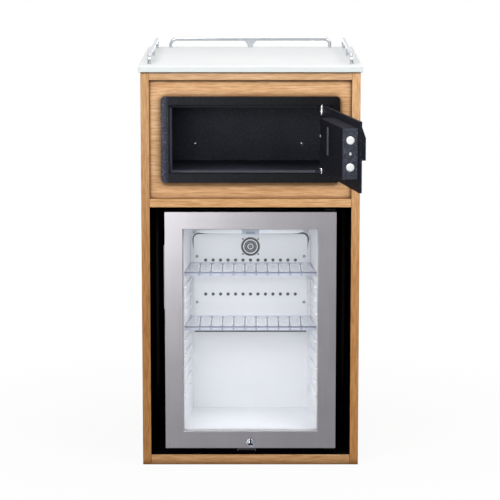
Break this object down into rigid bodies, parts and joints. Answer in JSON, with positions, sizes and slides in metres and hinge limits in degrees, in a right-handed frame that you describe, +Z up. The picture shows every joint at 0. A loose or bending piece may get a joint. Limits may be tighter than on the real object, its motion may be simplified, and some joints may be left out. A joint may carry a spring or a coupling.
{
  "type": "hotel minibar cabinet",
  "caption": "Oak hotel cabinet with a white railed counter, a keypad safe with an open door and a glass-door minibar with shelves and a fan.",
  "frame": {"origin": "on the floor, under the middle of the carcass", "axes": "+Z up, the front faces -Y, +X to the right seen from the front"},
  "size_m": [0.524, 0.93, 0.9801],
  "materials": {
    "oak": "satin oak veneer",
    "counter_white": "white solid surface",
    "rail_chrome": "polished",
    "safe_coat": "textured powder coat",
    "zinc_steel": "zinc plated",
    "key_plastic": "soft touch",
    "stainless": "brushed",
    "door_glass": "clear",
    "liner_white": "moulded",
    "clear_plastic": "clear moulded",
    "casing_black": "satin",
    "foam": "rigid foam",
    "rubber": "matt",
    "aluminium": "mill finish"
  },
  "bodies": {
    "cabinet": {"side_left": "oak", "side_right": "oak", "top_panel": "oak", "divider_shelf": "oak", "bottom_panel": "oak", "back_panel": "oak", "safe_fascia": "oak", "safe_platform": "oak", "countertop": "counter_white", "gallery_rail_left": "rail_chrome", "gallery_rail_right": "rail_chrome", "gallery_rail_back": "rail_chrome", "safe_shell": "safe_coat", "safe_bezel": "safe_coat", "safe_hinge_pin_top": "zinc_steel", "safe_hinge_pin_bottom": "zinc_steel", "lock_catch": "zinc_steel", "hinge_bracket_top": "zinc_steel", "hinge_bracket_bottom": "zinc_steel", "fridge_liner": "liner_white", "evaporator_cover": "liner_white", "fan_grille": "liner_white", "shelf_lower": "clear_plastic", "shelf_upper": "clear_plastic", "interior_lamp": "clear_plastic", "fridge_casing": "casing_black", "fan_motor": "casing_black", "fridge_insulation": "foam", "fridge_foot_left": "rubber", "fridge_foot_right": "rubber", "fridge_rear_skid": "rubber", "cold_sink": "aluminium", "cooling_block": "aluminium"},
    "safe_door": {"safe_door_plate": "safe_coat", "safe_lock_cover": "safe_coat", "safe_lock_motor": "zinc_steel", "keypad_housing": "safe_coat"},
    "safe_bolts": {"safe_bolt_upper": "zinc_steel", "safe_bolt_lower": "zinc_steel", "safe_bolt_bar": "zinc_steel"},
    "fridge_door": {"fridge_door_frame": "stainless", "fridge_door_glass": "door_glass", "fridge_door_liner": "liner_white", "fridge_door_gasket": "liner_white", "lock_barrel": "rail_chrome"},
    "lock_plug": {"lock_cylinder": "rail_chrome"},
    "fan": {"fan_impeller": "liner_white"},
    "key_1": {"key_1": "key_plastic"},
    "key_2": {"key_2": "key_plastic"},
    "key_3": {"key_3": "key_plastic"},
    "key_4": {"key_4": "key_plastic"},
    "key_5": {"key_5": "key_plastic"},
    "key_clear": {"key_clear": "key_plastic"},
    "key_6": {"key_6": "key_plastic"},
    "key_7": {"key_7": "key_plastic"},
    "key_8": {"key_8": "key_plastic"},
    "key_9": {"key_9": "key_plastic"},
    "key_0": {"key_0": "key_plastic"},
    "key_lock": {"key_lock": "key_plastic"}
  },
  "joints": [
    {"name": "safe_door_hinge", "type": "hinge", "parent": "cabinet", "child": "safe_door", "pos_m": [0.1672, -0.2885, 0.782], "axis": [0, 0, 1], "range_deg": [-101.5, 13.5]},
    {"name": "safe_bolt_slide", "type": "slide", "parent": "safe_door", "child": "safe_bolts", "axis": [0.1994, -0.9799, 0], "range_m": [0, 0.018]},
    {"name": "fridge_door_hinge", "type": "hinge", "parent": "cabinet", "child": "fridge_door", "pos_m": [0.19, -0.2615, 0.325], "axis": [0, 0, 1], "range_deg": [0, 100]},
    {"name": "lock_turn", "type": "hinge", "parent": "fridge_door", "child": "lock_plug", "pos_m": [0, -0.28, 0.0525], "axis": [0, 1, 0], "range_deg": [0, 90]},
    {"name": "fan_spin", "type": "hinge", "parent": "cabinet", "child": "fan", "pos_m": [0, -0.079, 0.496], "axis": [0, 1, 0], "continuous": true},
    {"name": "key_1_press", "type": "slide", "parent": "safe_door", "child": "key_1", "axis": [-0.9799, -0.1994, 0], "range_m": [0, 0.001], "stiffness_N_per_m": 400},
    {"name": "key_2_press", "type": "slide", "parent": "safe_door", "child": "key_2", "axis": [-0.9799, -0.1994, 0], "range_m": [0, 0.001], "stiffness_N_per_m": 400},
    {"name": "key_3_press", "type": "slide", "parent": "safe_door", "child": "key_3", "axis": [-0.9799, -0.1994, 0], "range_m": [0, 0.001], "stiffness_N_per_m": 400},
    {"name": "key_4_press", "type": "slide", "parent": "safe_door", "child": "key_4", "axis": [-0.9799, -0.1994, 0], "range_m": [0, 0.001], "stiffness_N_per_m": 400},
    {"name": "key_5_press", "type": "slide", "parent": "safe_door", "child": "key_5", "axis": [-0.9799, -0.1994, 0], "range_m": [0, 0.001], "stiffness_N_per_m": 400},
    {"name": "key_clear_press", "type": "slide", "parent": "safe_door", "child": "key_clear", "axis": [-0.9799, -0.1994, 0], "range_m": [0, 0.001], "stiffness_N_per_m": 400},
    {"name": "key_6_press", "type": "slide", "parent": "safe_door", "child": "key_6", "axis": [-0.9799, -0.1994, 0], "range_m": [0, 0.001], "stiffness_N_per_m": 400},
    {"name": "key_7_press", "type": "slide", "parent": "safe_door", "child": "key_7", "axis": [-0.9799, -0.1994, 0], "range_m": [0, 0.001], "stiffness_N_per_m": 400},
    {"name": "key_8_press", "type": "slide", "parent": "safe_door", "child": "key_8", "axis": [-0.9799, -0.1994, 0], "range_m": [0, 0.001], "stiffness_N_per_m": 400},
    {"name": "key_9_press", "type": "slide", "parent": "safe_door", "child": "key_9", "axis": [-0.9799, -0.1994, 0], "range_m": [0, 0.001], "stiffness_N_per_m": 400},
    {"name": "key_0_press", "type": "slide", "parent": "safe_door", "child": "key_0", "axis": [-0.9799, -0.1994, 0], "range_m": [0, 0.001], "stiffness_N_per_m": 400},
    {"name": "key_lock_press", "type": "slide", "parent": "safe_door", "child": "key_lock", "axis": [-0.9799, -0.1994, 0], "range_m": [0, 0.001], "stiffness_N_per_m": 400}
  ]
}
